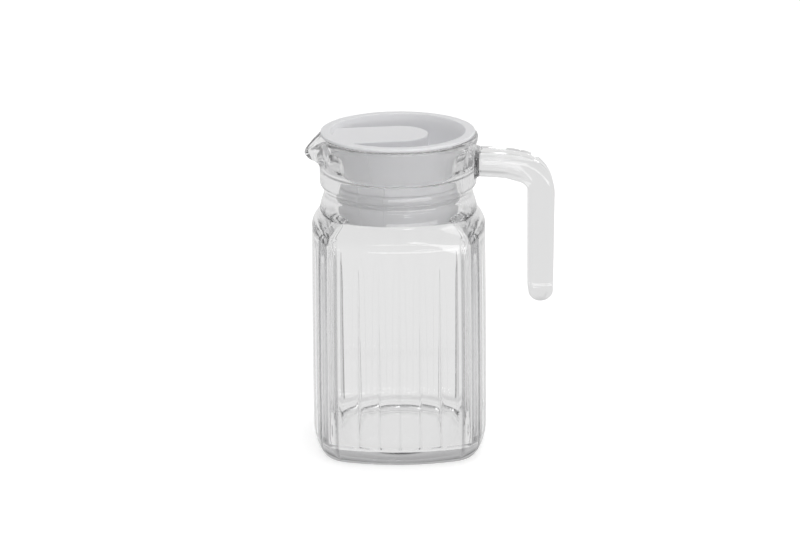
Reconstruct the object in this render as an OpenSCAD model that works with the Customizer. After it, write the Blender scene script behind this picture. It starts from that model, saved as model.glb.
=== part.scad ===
// Glass fridge jug with a push-in lid, in millimetres.
// The origin is the middle of the foot on the table, +Z is up.
// The handle points along +X and the spout along -X.

/* [Body] */
// Width across the side panels just below the shoulder
body_w = 86.6; // [80:0.2:92]
// Width of each side panel
panel_w = 62; // [52:0.5:66]
// How far the middle of a panel stands out past its edges
panel_bulge = 4.4; // [2:0.2:6]
// How far each side swells out near the bottom
belly = 0.9; // [0:0.1:2]
// Height of the widest part of the belly
belly_z = 20; // [16:1:40]
// How far the rounded column on each corner stands out
column_h = 1.2; // [0.6:0.1:2]
// Depth of the grooves between the panels and the corner columns
groove_d = 0.8; // [0.3:0.1:1.4]
// Width of the slope that frames each side panel
panel_border = 1.2; // [0.6:0.1:2]
// Height of the whole glass, up to the rim of its mouth
rim_z = 161; // [150:0.5:175]
// Height of the rounding between the side walls and the foot
foot_rise = 13; // [10:1:15]
// How far the foot stands in from the side walls
foot_inset = 5; // [3:0.2:7]
// Width of the flat ring that the jug stands on
foot_ring_w = 3.5; // [2:0.5:6]
// How far the middle of the underside is pushed up
push_up = 1.4; // [0.6:0.1:2.5]

/* [Glass inside] */
// Thickness of the side walls
wall = 4; // [3:0.1:5]
// Height of the inside floor in its middle
floor_z = 6; // [5:0.2:9]
// Radius of the inside rounding between the floor and the walls
floor_r = 3; // [2:0.5:6]
// Number of shallow flutes on the inside of each side wall, beside the one in each corner
flute_count = 6; // [4:1:8]
// Depth of those flutes
flute_d = 1; // [0.4:0.1:1.6]

/* [Neck and mouth] */
// Radius of the waist under the collar
waist_r = 37.1; // [36:0.1:38]
// Depth of the waist below the rim
waist_d = 28.7; // [27.5:0.1:29.5]
// Radius of the neck where it stands on the shoulder
neck_r = 39.3; // [38:0.1:40.5]
// Height from the top of the side panels to the rim
neck_h = 45; // [43.5:0.5:57]
// Height of the shoulder's rise from the panels to the neck
shoulder_h = 6.8; // [5:0.2:8]
// Radius of the collar
collar_r = 39.1; // [38.6:0.1:39.8]
// Height of the collar, from its lower edge to the rim
collar_h = 24.8; // [23:0.2:25.2]
// How far the bead round the rim stands out from the collar
rim_bead = 0.8; // [0.6:0.1:1.8]
// Height of the bead round the rim
rim_bead_h = 4; // [3:0.2:5]
// Inside radius of the mouth at the rim
mouth_r = 34.8; // [34.4:0.1:35.4]
// Inside radius of the throat that holds the stopper
throat_r = 30.3; // [29.5:0.1:31]
// Depth of the mouth, from the rim down to the ledge
mouth_d = 19; // [17:0.5:21]
// Length of the throat below the ledge
throat_l = 17; // [15:0.5:19]

/* [Spout] */
// How far the spout reaches out past the rim
spout_reach = 6.6; // [4:0.2:9]
// How far the spout's lip hangs below the rim
spout_drop = 7.6; // [4:0.2:9]
// Half of the angle that the spout takes up, in degrees
spout_half = 25; // [19:1:32]
// Depth below the rim where the spout's underside leaves the collar
spout_root_d = 17; // [15:0.5:18]

/* [Handle] */
// Thickness of the pad on the collar that carries the handle's root
root_pad = 0.9; // [0.5:0.1:2]
// How far the outside of the handle stands out from the collar
handle_reach = 38.7; // [31:0.1:47]
// Depth of the middle of the root below the rim
handle_d = 14.1; // [13:0.1:16]
// Height of the handle, from the middle of its root down to its free end
handle_h = 72.8; // [57:0.2:85]
// Thickness of the bar
bar_t = 12.8; // [10:0.2:14]
// Width of the bar
bar_w = 20; // [15:0.5:22]
// Radius of the rounding along the bar's four edges
bar_r = 4; // [2:0.2:5]
// Radius of the bend along the middle of the bar
bend_r = 15; // [11:0.5:18]
// Fall of the arm between its root and the bend
arm_fall = 1.6; // [0:0.2:3]
// How much the root flares out on its pad
root_flare = 0.7; // [0.3:0.1:1.5]

/* [Lid] */
// Radius of the lid's flange
flange_r = 38.4; // [37.5:0.1:39]
// Thickness of the flange
flange_t = 1.6; // [1.2:0.1:2.2]
// Width of the flat ring round the dish
flange_w = 5; // [4:0.1:6]
// How far that ring falls away towards its outer edge
flange_fall = 0.5; // [0:0.1:0.8]
// Wall thickness of the moulding
lid_wall = 1.7; // [1.2:0.1:2.2]
// Depth of the dish below the top of the flange
dish_d = 17; // [13:0.5:19]
// Height of the grip's top below the top of the flange
grip_drop = 2.2; // [1:0.1:4]
// Width of the grip
grip_w = 34; // [28:1:38]
// Distance from the lid's axis to the round tip of the grip
grip_tip = 15.4; // [12:0.2:20]
// Angle between the grip and the handle, in degrees
lid_turn = 8; // [-20:1:20]
// Length of the stopper below the ledge
stopper_l = 17; // [13:0.2:22]
// Number of sealing beads round the stopper
bead_count = 3; // [2:1:4]
// How far the sealing beads stand out
bead_h = 1; // [0.6:0.1:1.6]
// Depth of the upper bead's middle below the ledge
bead_d = 5.8; // [3:0.2:8]
// Distance from one bead to the next
bead_pitch = 3.3; // [2.6:0.1:4]

/* [Clearances] */
// Gap between the sealing beads and the throat
bead_gap = 0.3; // [0.2:0.05:0.6]
// Gap between the lid's flange and the rim
seat_gap = 0.1; // [0.05:0.05:0.3]

/* [Hidden] */
$fn = 96;

flute_marks = [0, 0.25, 0.75];
flute_n = len(flute_marks);
flat_n = flute_n * flute_count + 2;
corner_n = 6;
side_n = flat_n + corner_n;
body_a = body_w / 2;
panel_a = panel_w / 2;
panel_top = rim_z - neck_h;
neck_z = panel_top + shoulder_h;
waist_z = rim_z - waist_d;
collar_z = rim_z - collar_h;
rim_r = collar_r + rim_bead;
ledge_z = rim_z - mouth_d;
throat_z = ledge_z - throat_l;
spout_root_z = rim_z - spout_root_d;
handle_root_x = collar_r + root_pad;
handle_x = collar_r + handle_reach;
handle_z = rim_z - handle_d;
handle_end_z = handle_z - handle_h;
stopper_r = throat_r - bead_gap - bead_h;
lid_z = rim_z + seat_gap + flange_t;
stopper_z = ledge_z - stopper_l;
dish_r = flange_r - flange_w;
dish_z = lid_z - dish_d;
grip_z = lid_z - grip_drop;

function mix(a, b, t) = a + (b - a) * t;
function limit(t) = min(1, max(0, t));
function ease(t) = let (c = limit(t)) c * c * (3 - 2 * c);
function turn(p, a) = [p.x * cos(a) - p.y * sin(a), p.x * sin(a) + p.y * cos(a)];

// Outlines of the body: [half width, half width of a panel, its bulge, how far the corners stand out].
// The inside keeps the wall's thickness along the panels, and its corners run smoothly into them:
// each starts along the panel's own slope.
inner_a = body_a - wall;
inner_panel_a = panel_a - wall * sin(atan(2 * panel_bulge / panel_a));
inner_corner = (inner_a - panel_bulge - inner_panel_a) * sqrt(2);
smooth_h = inner_corner * tan(45 - atan(2 * panel_bulge / inner_panel_a)) / PI;
outer = [body_a, panel_a, panel_bulge, column_h];
inner = [inner_a, inner_panel_a, panel_bulge, smooth_h];

// Distance along a panel of point j: its edge, a border, the flutes and their cusps, a border.
function panel_u(o, j) =
    j == 0 ? -o[1]
    : j == 1 ? panel_border - o[1]
    : j < flat_n - 1 ? 2 * o[1] * (floor((j - 1) / flute_n) + flute_marks[(j - 1) % flute_n]) / flute_count - o[1]
    : o[1] - panel_border;

// Whether point j lies between the cusps of the flutes
function between_cusps(j) =
    j == 1 || j == flat_n - 1 || j > flat_n || (j > 1 && j < flat_n - 1 && (j - 1) % flute_n != 0);

// One side of outline o: a bulging panel, then the rounded corner.
// groove and flute are the depths cut beside the corner and into the panel.
function side_point(o, j, groove, flute) =
    let (edge = o[0] - o[2], u = panel_u(o, j), cut = between_cusps(j) ? 0 : flute)
    j == 0 ? [edge, u] - (groove + cut) * [sqrt(0.5), -sqrt(0.5)]
    : j < flat_n ? [edge + o[2] * (1 - pow(u / o[1], 2)) - cut, u]
    : let (t = (j - flat_n) / corner_n, out = o[3] * sin(180 * t) - (t == 0 ? groove + cut : 0))
      [mix(edge, o[1], t), mix(o[1], edge, t)] + out * [sqrt(0.5), sqrt(0.5)];

// The spout draws the points near -X outwards and down, more so towards the rim.
function spout_share(p, z) =
    let (off = abs(atan2(p.y, -p.x)), near = off < spout_half ? (1 + cos(180 * off / spout_half)) / 2 : 0)
    near * ease((z - spout_root_z) / (rim_z - spout_root_z - rim_bead_h / 2));

// A ring of points round outline o: s is [height, half width, roundness, groove, flute].
// The outline is scaled to the half width, and a roundness of 1 makes it a circle.
function ring(o, s) = [
    for (side = [0:3], j = [0:side_n - 1])
        let (k = s[1] / o[0], sq = k * side_point(o, j, s[3], s[4]), dir = side_point(o, j, 0, 0))
        let (p = turn(mix(sq, s[1] * dir / norm(dir), s[2]), 90 * side))
        let (pull = spout_share(p, s[0]), q = p * (1 + pull * spout_reach / norm(p)))
        [q.x, q.y, s[0] - pull * spout_drop]
];

// Half width of the body at a height between the foot and the shoulder.
function side_a(z) = z > belly_z ? body_a + belly * (1 - pow((z - belly_z) / (panel_top - belly_z), 2)) : body_a + belly;

// Skins of the glass, from the underside round to the inside floor
foot_a = body_a + belly - foot_inset;
underside = [
    [push_up, foot_a - foot_ring_w - 5, 0.1, 0, 0],
    [0, foot_a - foot_ring_w, 0.1, 0, 0]
];
foot = [
    for (t = [0, 0.25, 0.5, 0.75])
        [foot_rise * (1 - cos(90 * t)), foot_a + foot_inset * sin(90 * t), 0.1 * (1 - t), groove_d * ease(2 * t - 0.7), 0]
];
side = [
    for (z = [foot_rise, belly_z, mix(belly_z, panel_top, 0.5), panel_top])
        [z, side_a(z), 0, groove_d, 0]
];
shoulder = [
    for (t = [0.14, 0.36, 0.65, 1])
        [mix(panel_top, neck_z, t), mix(body_a, neck_r, pow(t, 1.3)), pow(t, 1.2), groove_d * limit(1 - 4 * t), 0]
];
neck = [
    [mix(neck_z, waist_z, 0.4), mix(neck_r, waist_r, 0.25), 1, 0, 0],
    [waist_z - 1, waist_r + 0.15, 1, 0, 0],
    [waist_z + 0.3, waist_r, 1, 0, 0],
    [mix(waist_z, collar_z, 0.6), mix(waist_r, collar_r, 0.35), 1, 0, 0],
    [collar_z - 0.4, collar_r - 0.7, 1, 0, 0],
    [collar_z + 0.8, collar_r, 1, 0, 0]
];
collar = [
    for (z = [spout_root_z, mix(spout_root_z, rim_z, 0.3), mix(spout_root_z, rim_z, 0.55)])
        [z, collar_r, 1, 0, 0]
];
rim = [
    [rim_z - rim_bead_h, collar_r + 0.1, 1, 0, 0],
    [rim_z - 0.7 * rim_bead_h, rim_r - 0.2, 1, 0, 0],
    [rim_z - 0.25 * rim_bead_h, rim_r - 0.1, 1, 0, 0],
    [rim_z, rim_r - 1, 1, 0, 0],
    [rim_z, mouth_r + 0.9, 1, 0, 0],
    [rim_z - 1, mouth_r, 1, 0, 0]
];
mouth = [
    [mix(rim_z, ledge_z, 0.5), mix(mouth_r, throat_r + 1, 0.5), 1, 0, 0],
    [ledge_z + 1, throat_r + 1, 1, 0, 0],
    [ledge_z, throat_r, 1, 0, 0],
    [throat_z + 0.5, throat_r, 1, 0, 0]
];
hollow_top = panel_top - 1;
flute_fade = 10;
floor_edge_z = floor_z + 1;
cavity = [
    for (t = [0.8, 0.5, 0.2])
        [mix(hollow_top, throat_z, t), mix(inner_a, throat_r, pow(t, 1.6)), t, 0, 0]
];
inside = [
    [hollow_top, inner_a, 0, 0, 0],
    [hollow_top - flute_fade, inner_a, 0, 0, flute_d],
    [belly_z, inner_a + belly, 0, 0, flute_d],
    for (t = [0, 0.15, 0.4, 0.7, 1])
        [floor_edge_z + floor_r * (1 - sin(90 * t)), inner_a + belly - floor_r * (1 - cos(90 * t)),
            0.12 * t, 0, flute_d * (1 - 0.5 * t)],
    [floor_z + 0.5, inner_a + belly - floor_r - 6, 0.2, 0, 0]
];
rings = concat(
    [for (s = concat(underside, foot, side, shoulder, neck, collar, rim)) ring(outer, s)],
    [for (s = concat(mouth, cavity, inside)) ring(inner, s)]
);

// Joins the rings into one closed skin, with a point at the middle of each end.
module skin(rings, first, last) {
    n = len(rings[0]);
    m = len(rings);
    points = [first, for (r = rings) each r, last];
    faces = [
        for (i = [0:n - 1]) [0, 1 + i, 1 + (i + 1) % n],
        for (k = [0:m - 2], i = [0:n - 1])
            let (a = 1 + k * n + i, b = 1 + k * n + (i + 1) % n)
            each [[a, a + n, b], [b, a + n, b + n]],
        for (i = [0:n - 1]) [1 + m * n, 1 + (m - 1) * n + (i + 1) % n, 1 + (m - 1) * n + i]
    ];
    polyhedron(points, faces);
}

// Outline of the handle's bar: a rectangle with a rounding on each corner
function bar_outline(w, t) =
    let (r = min(bar_r, 0.45 * w, 0.45 * t))
    [
        for (i = [0:3], a = [0:18:90])
            let (right = i == 0 || i == 3, up = i < 2)
            [(right ? 1 : -1) * (w / 2 - r) + r * cos(90 * i + a), (up ? 1 : -1) * (t / 2 - r) + r * sin(90 * i + a)]
    ];

// The pad on the collar that carries the handle's root
module handle_pad() {
    translate([collar_r - 4, 0, handle_z])
        rotate([90, 0, 90])
            linear_extrude(handle_root_x - collar_r + 4)
                polygon(bar_outline(bar_w + 2 * root_flare, bar_t + 2 * root_flare));
}

module glass_jug() {
    color([0.86, 0.89, 0.89, 0.4])
        union() {
            skin(rings, [0, 0, push_up], [0, 0, floor_z]);
            handle_pad();
        }
}

// Handle: sections swept along an arm, a bend and a leg with a round end
// A station is [x, z, direction below the horizontal, width, thickness].
bend_x = handle_x - bar_t / 2 - bend_r;
bend_z = handle_z - arm_fall - bend_r;
round_l = bar_t / 2;
handle_path = [
    [handle_root_x, handle_z, 0, bar_w + 2 * root_flare, bar_t + 2 * root_flare],
    [handle_root_x + 0.7 * root_flare, handle_z, 0, bar_w + 0.7 * root_flare, bar_t + 0.7 * root_flare],
    [handle_root_x + 2 * root_flare, handle_z - 0.1 * arm_fall, 2, bar_w, bar_t],
    for (i = [0:8])
        let (q = 90 * i / 8)
        [bend_x + bend_r * sin(q), bend_z + bend_r * cos(q), q, bar_w, bar_t],
    [bend_x + bend_r, mix(bend_z, handle_end_z + round_l, 0.5), 90, bar_w, bar_t],
    for (i = [0:4])
        let (q = 19 * i, end_w = bar_w - 0.8, end_t = bar_t - 0.6)
        [bend_x + bend_r, handle_end_z + round_l * (1 - sin(q)), 90, end_w * mix(1, cos(q), 0.75), end_t * cos(q)]
];
function section(s) = [
    for (p = bar_outline(s[3], s[4]))
        [s[0] + p.y * sin(s[2]), p.x, s[1] + p.y * cos(s[2])]
];

module handle() {
    first = handle_path[0];
    color([0.86, 0.89, 0.89, 0.4])
        skin([for (s = handle_path) section(s)], [first[0], 0, first[1]], [bend_x + bend_r, 0, handle_end_z]);
}

// Lid: one moulding, turned about its axis
cone_top_r = dish_r + 0.6;
cone_foot_z = ledge_z + 0.6;
cone_foot_r = stopper_r - 0.3;
flange_z = lid_z - flange_t;
corner = 0.4;
bowl_r = 5;

// Inside radius of the dish at a height
function cone_r(z) = mix(cone_foot_r, cone_top_r, (z - cone_foot_z) / (flange_z - cone_foot_z));

module sealing_beads() {
    for (i = [0:bead_count - 1])
        translate([stopper_r, ledge_z - bead_d - i * bead_pitch])
            scale(bead_h)
                circle(r = 1, $fn = 24);
}

// Solid outline of the lid without the hollows
module lid_body() {
    rotate_extrude()
        union() {
            polygon([
                [0, stopper_z], [stopper_r - corner, stopper_z], [stopper_r, stopper_z + corner],
                [stopper_r, cone_foot_z - 1.4], [cone_foot_r, cone_foot_z], [cone_top_r, flange_z],
                [flange_r - corner, flange_z], [flange_r, flange_z + corner],
                [flange_r, lid_z - flange_fall - corner], [flange_r - corner, lid_z - flange_fall],
                [dish_r + corner, lid_z], [0, lid_z]
            ]);
            sealing_beads();
        }
}

// The dish in the top: a cone with a rounded floor
module dish() {
    wall_r = cone_r(dish_z + bowl_r) - lid_wall;
    rotate_extrude()
        union() {
            polygon([
                [0, dish_z + bowl_r], [wall_r, dish_z + bowl_r], [cone_r(flange_z - 2) - lid_wall, flange_z - 2],
                [dish_r, lid_z - corner], [dish_r + corner, lid_z + 0.01], [0, lid_z + 0.01]
            ]);
            translate([0, dish_z])
                square([wall_r - bowl_r, bowl_r + 1]);
            translate([wall_r - bowl_r, dish_z + bowl_r])
                circle(r = bowl_r, $fn = 48);
        }
}

// The hollow of the stopper, open at the bottom
module stopper_hollow() {
    hollow_r = stopper_r - lid_wall;
    translate([0, 0, stopper_z - 1])
        cylinder(r = hollow_r, h = dish_z - lid_wall - stopper_z + 1);
}

// Outline of the grip, grown or shrunk by a margin
module grip_block(margin, bottom, top) {
    half = grip_w / 2 - margin;
    middle = grip_tip - grip_w / 2;
    translate([0, 0, bottom]) {
        translate([middle, 0, 0])
            cylinder(r = half, h = top - bottom);
        translate([middle - 2 * dish_r, -half, 0])
            cube([2 * dish_r, 2 * half, top - bottom]);
    }
}

// Everything inside the lid's outer cone, shrunk by a margin
module inside_cone(margin) {
    rotate_extrude()
        polygon([
            [0, stopper_z], [cone_r(dish_z - lid_wall - 2) - margin, stopper_z],
            [cone_r(dish_z - lid_wall - 2) - margin, dish_z - lid_wall - 2],
            [cone_r(lid_z) - margin, lid_z], [0, lid_z]
        ]);
}

module lid() {
    color([0.9, 0.9, 0.9])
        rotate([0, 0, lid_turn])
            difference() {
                lid_body();
                difference() {
                    dish();
                    grip_block(0, dish_z - 1, grip_z);
                }
                stopper_hollow();
                intersection() {
                    grip_block(lid_wall, dish_z - lid_wall - 1, grip_z - lid_wall);
                    inside_cone(lid_wall);
                }
            }
}

glass_jug();
handle();
lid();
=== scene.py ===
"""A clear glass fridge jug with a white push-in lid, on a plain pale studio floor."""

import math
from collections import namedtuple
from types import SimpleNamespace

import bmesh
import bpy
from mathutils import Matrix, Vector


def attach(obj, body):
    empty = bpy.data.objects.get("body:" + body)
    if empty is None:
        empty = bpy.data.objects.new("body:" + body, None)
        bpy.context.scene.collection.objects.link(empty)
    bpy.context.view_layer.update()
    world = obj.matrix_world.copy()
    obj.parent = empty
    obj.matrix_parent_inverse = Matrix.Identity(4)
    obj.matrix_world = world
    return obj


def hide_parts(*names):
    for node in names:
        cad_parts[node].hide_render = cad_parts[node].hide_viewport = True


bl_info = {
    "name": "Glass pitcher with lid",
    "version": (1, 0, 0),
    "blender": (4, 5, 0),
    "location": "View3D > Sidebar > Pitcher",
    "description": "Models and dresses a glass fridge jug, its handle and its stopper lid",
    "category": "Add Mesh",
}

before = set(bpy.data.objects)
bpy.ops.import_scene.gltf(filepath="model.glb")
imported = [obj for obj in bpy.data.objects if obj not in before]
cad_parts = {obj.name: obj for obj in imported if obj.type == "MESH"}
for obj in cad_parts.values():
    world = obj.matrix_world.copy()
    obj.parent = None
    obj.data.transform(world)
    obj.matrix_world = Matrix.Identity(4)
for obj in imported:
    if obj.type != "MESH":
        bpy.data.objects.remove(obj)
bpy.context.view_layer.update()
MM = 0.001
QUARTER = math.pi / 2


# Properties


class PitcherBody(bpy.types.PropertyGroup):
    """Sizes of the jug's body"""

    body_half: bpy.props.FloatProperty(
        name="Body half width", description="Half the width across the panels under the shoulder",
        default=0.0433, min=0.040, max=0.046, unit="LENGTH",
    )
    panel_half: bpy.props.FloatProperty(
        name="Panel half width", description="Half the width of a side panel",
        default=0.031, min=0.026, max=0.033, unit="LENGTH",
    )
    panel_bulge: bpy.props.FloatProperty(
        name="Panel bulge", description="How far the middle of a panel stands out past its edges",
        default=0.0044, min=0, max=0.006, unit="LENGTH",
    )
    panel_top: bpy.props.FloatProperty(
        name="Panel top", description="Height where the panels end",
        default=0.116, min=0.104, max=0.118, unit="LENGTH",
    )
    belly: bpy.props.FloatProperty(
        name="Belly", description="Swell of each side near the bottom",
        default=0.0009, min=0, max=0.002, unit="LENGTH",
    )
    belly_height: bpy.props.FloatProperty(
        name="Belly height", description="Height up to which the sides keep their full swell",
        default=0.020, min=0.014, max=0.030, unit="LENGTH",
    )
    heel_rise: bpy.props.FloatProperty(
        name="Heel rise", description="Height of the rounding between the foot and the sides",
        default=0.011, min=0.006, max=0.014, unit="LENGTH",
    )
    heel_inset: bpy.props.FloatProperty(
        name="Heel inset", description="How far that rounding draws in the foot",
        default=0.0052, min=0.003, max=0.007, unit="LENGTH",
    )
    push_up: bpy.props.FloatProperty(
        name="Push-up", description="How far the middle of the underside is raised",
        default=0.0014, min=0.0005, max=0.003, unit="LENGTH",
    )
    groove: bpy.props.FloatProperty(
        name="Groove depth", description="Depth of the grooves beside the corner columns",
        default=0.0008, min=0.0001, max=0.0014, unit="LENGTH",
    )
    column: bpy.props.FloatProperty(
        name="Column height", description="How far the corner columns stand out",
        default=0.0012, min=0, max=0.002, unit="LENGTH",
    )
    wall: bpy.props.FloatProperty(
        name="Wall", description="Thickness of the side walls",
        default=0.004, min=0.003, max=0.005, unit="LENGTH",
    )
    flute_count: bpy.props.IntProperty(
        name="Flutes", description="Number of flutes inside each side wall",
        default=6, min=4, max=8,
    )
    flute_depth: bpy.props.FloatProperty(
        name="Flute depth", description="Depth of those flutes",
        default=0.001, min=0.0001, max=0.0016, unit="LENGTH",
    )
    floor_height: bpy.props.FloatProperty(
        name="Floor height", description="Height of the middle of the floor inside",
        default=0.006, min=0.004, max=0.008, unit="LENGTH",
    )
    floor_radius: bpy.props.FloatProperty(
        name="Floor rounding", description="Inside radius between the floor and the walls",
        default=0.003, min=0.002, max=0.006, unit="LENGTH",
    )


class PitcherNeck(bpy.types.PropertyGroup):
    """Sizes of the shoulder, the neck, the mouth and the spout"""

    shoulder_height: bpy.props.FloatProperty(
        name="Shoulder height", description="Height of the slope between the panels and the neck",
        default=0.0068, min=0.005, max=0.009, unit="LENGTH",
    )
    neck_half: bpy.props.FloatProperty(
        name="Neck radius", description="Radius of the neck where it leaves the shoulder",
        default=0.0393, min=0.037, max=0.041, unit="LENGTH",
    )
    waist_half: bpy.props.FloatProperty(
        name="Waist radius", description="Radius of the neck where it is narrowest",
        default=0.0371, min=0.035, max=0.039, unit="LENGTH",
    )
    waist_height: bpy.props.FloatProperty(
        name="Waist height", description="Height where the neck is narrowest",
        default=0.1323, min=0.128, max=0.134, unit="LENGTH",
    )
    collar_half: bpy.props.FloatProperty(
        name="Collar radius", description="Radius of the collar below the rim",
        default=0.0391, min=0.037, max=0.041, unit="LENGTH",
    )
    rim_height: bpy.props.FloatProperty(
        name="Rim height", description="Height of the rim of the mouth",
        default=0.161, min=0.158, max=0.166, unit="LENGTH",
    )
    mouth_half: bpy.props.FloatProperty(
        name="Mouth radius", description="Radius of the mouth below its rolled rim",
        default=0.03475, min=0.033, max=0.036, unit="LENGTH",
    )
    throat_half: bpy.props.FloatProperty(
        name="Throat radius", description="Radius of the throat that holds the stopper",
        default=0.0303, min=0.0301, max=0.031, unit="LENGTH",
    )
    throat_top: bpy.props.FloatProperty(
        name="Throat top", description="Height where the mouth's cone meets the throat",
        default=0.143, min=0.141, max=0.145, unit="LENGTH",
    )
    spout_reach: bpy.props.FloatProperty(
        name="Spout reach", description="How far the spout reaches past the rim",
        default=0.0066, min=0, max=0.009, unit="LENGTH",
    )
    spout_drop: bpy.props.FloatProperty(
        name="Spout drop", description="How far the spout's lip hangs below the rim",
        default=0.0076, min=0, max=0.009, unit="LENGTH",
    )


class PitcherHandle(bpy.types.PropertyGroup):
    """Sizes of the handle"""

    handle_reach: bpy.props.FloatProperty(
        name="Reach", description="Distance of the leg's outer face from the jug's axis",
        default=0.0778, min=0.070, max=0.082, unit="LENGTH",
    )
    handle_end: bpy.props.FloatProperty(
        name="End", description="Height of the leg's round end",
        default=0.0741, min=0.060, max=0.090, unit="LENGTH",
    )
    arm_height: bpy.props.FloatProperty(
        name="Arm height", description="Height of the middle of the arm at the collar",
        default=0.1465, min=0.144, max=0.149, unit="LENGTH",
    )
    arm_fall: bpy.props.FloatProperty(
        name="Arm fall", description="How much lower the top of the bend lies",
        default=0.0024, min=0, max=0.004, unit="LENGTH",
    )
    arm_thickness: bpy.props.FloatProperty(
        name="Arm thickness", description="Thickness of the arm at the collar",
        default=0.0124, min=0.010, max=0.014, unit="LENGTH",
    )
    bar_width: bpy.props.FloatProperty(
        name="Width", description="Width of the arm and of the leg",
        default=0.020, min=0.016, max=0.022, unit="LENGTH",
    )
    bend_radius: bpy.props.FloatProperty(
        name="Bend radius", description="Radius of the bend, at the middle of the bar",
        default=0.013, min=0.009, max=0.018, unit="LENGTH",
    )
    leg_thickness: bpy.props.FloatProperty(
        name="Leg thickness", description="Thickness of the bend and of the top of the leg",
        default=0.0132, min=0.010, max=0.015, unit="LENGTH",
    )
    root_flare: bpy.props.FloatProperty(
        name="Root flare", description="How far the arm flares where it meets the collar",
        default=0.0008, min=0, max=0.002, unit="LENGTH",
    )


class PitcherLid(bpy.types.PropertyGroup):
    """Sizes of the lid's grip"""

    grip_height: bpy.props.FloatProperty(
        name="Grip height", description="Height of the grip's flat top",
        default=0.1605, min=0.158, max=0.1615, unit="LENGTH",
    )
    grip_half: bpy.props.FloatProperty(
        name="Grip half width", description="Half the width of the grip, and the radius of its tip",
        default=0.0152, min=0.012, max=0.018, unit="LENGTH",
    )
    grip_middle: bpy.props.FloatProperty(
        name="Grip middle", description="Distance from the lid's axis to the middle of the round tip",
        default=0.0002, min=0, max=0.004, unit="LENGTH",
    )
    grip_aside: bpy.props.FloatProperty(
        name="Grip aside", description="How far the grip lies to the back",
        default=0.0018, min=0, max=0.003, unit="LENGTH",
    )
    lid_wall: bpy.props.FloatProperty(
        name="Lid wall", description="Thickness of the grip's top and sides",
        default=0.0017, min=0.001, max=0.0025, unit="LENGTH",
    )
    lid_turn: bpy.props.FloatProperty(
        name="Lid turn", description="How far the grip is turned away from the spout",
        default=math.radians(8), min=-math.pi, max=math.pi, subtype="ANGLE",
    )


class PitcherFinish(bpy.types.PropertyGroup):
    """Colours and finishes"""

    glass_tint: bpy.props.FloatVectorProperty(
        name="Glass", description="Colour of the clear glass",
        subtype="COLOR", size=3, min=0, max=1, default=(0.99, 0.99, 0.99),
    )
    # Painted shade: the dark tint given to the glass along its grooves and cusps and low in the heel, where
    # refraction and shade darken real glass
    painted_shade_tint: bpy.props.FloatVectorProperty(
        name="Fine lines", description="Colour of the glass along its grooves and cusps",
        subtype="COLOR", size=3, min=0, max=1, default=(0.15, 0.15, 0.16),
    )
    glass_depth: bpy.props.FloatVectorProperty(
        name="Glass depth", description="Colour that thick glass takes on",
        subtype="COLOR", size=3, min=0, max=1, default=(0.33, 0.33, 0.34),
    )
    lid_colour: bpy.props.FloatVectorProperty(
        name="Lid", description="Colour of the lid's white plastic",
        subtype="COLOR", size=3, min=0, max=1, default=(0.86, 0.86, 0.875),
    )
    floor_grey: bpy.props.FloatProperty(
        name="Floor", description="Grey of the pale floor that keeps the shadow",
        default=0.78, min=0, max=1, subtype="FACTOR",
    )


def sizes(scene):
    """All the sizes together, with lengths in millimetres and rounded to the digits that they keep."""
    values = {}
    for group in (scene.pitcher_body, scene.pitcher_neck, scene.pitcher_handle, scene.pitcher_lid):
        for prop in group.bl_rna.properties:
            if prop.identifier not in ("rna_type", "name"):
                value = getattr(group, prop.identifier)
                in_mm = prop.type == "FLOAT" and prop.unit == "LENGTH"
                values[prop.identifier] = round(value / MM, 4) if in_mm else value
    return SimpleNamespace(**values)


# Small helpers


def mix(a, b, t):
    return a + (b - a) * t


def ease(t):
    t = min(1.0, max(0.0, t))
    return t * t * (3 - 2 * t)


def ramp(value, start, end):
    """Runs smoothly from 0 at the start to 1 at the end, in either direction."""
    return ease((value - start) / (end - start))


def mesh_piece(name, bm, material, smooth=True):
    """Puts a finished bmesh into the scene as a piece at the origin."""
    bmesh.ops.recalc_face_normals(bm, faces=bm.faces)
    mesh = bpy.data.meshes.new(name)
    bm.to_mesh(mesh)
    bm.free()
    for polygon in mesh.polygons:
        polygon.use_smooth = smooth
    mesh.materials.append(material)
    piece = bpy.data.objects.new(name, mesh)
    bpy.context.scene.collection.objects.link(piece)
    return piece


def new_material(name):
    """A material made of nodes, with its nodes and links."""
    material = bpy.data.materials.new(name)
    material.use_nodes = True
    return material, material.node_tree.nodes, material.node_tree.links


def ring_layers(bm):
    """The vertex layers for each vertex's number round its ring and for the painted shade lines on the glass.
    """
    verts = bm.verts.layers
    order = verts.int.get("order") or verts.int.new("order")
    line = verts.float.get("painted_line_shade") or verts.float.new("painted_line_shade")
    return order, line


def draw_up(bm, loop, ring):
    """Extrudes a closed loop of edges once and moves each new vertex to its place on the next ring."""
    made = bmesh.ops.extrude_edge_only(bm, edges=loop)["geom"]
    edges = [part for part in made if isinstance(part, bmesh.types.BMEdge)]
    fresh = {part for part in made if isinstance(part, bmesh.types.BMVert)}
    order, line = ring_layers(bm)
    for vert in fresh:
        step = next(edge for edge in vert.link_edges if edge.other_vert(vert) not in fresh)
        vert[order] = step.other_vert(vert)[order]
    for vert in fresh:
        vert.co, vert[line] = ring[vert[order]]
    return [edge for edge in edges if edge.verts[0] in fresh and edge.verts[1] in fresh]


def close_end(bm, loop, place):
    """Draws a loop of edges together to one point."""
    made = bmesh.ops.extrude_edge_only(bm, edges=loop)["geom"]
    fresh = [part for part in made if isinstance(part, bmesh.types.BMVert)]
    bmesh.ops.pointmerge(bm, verts=fresh, merge_co=place)


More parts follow.
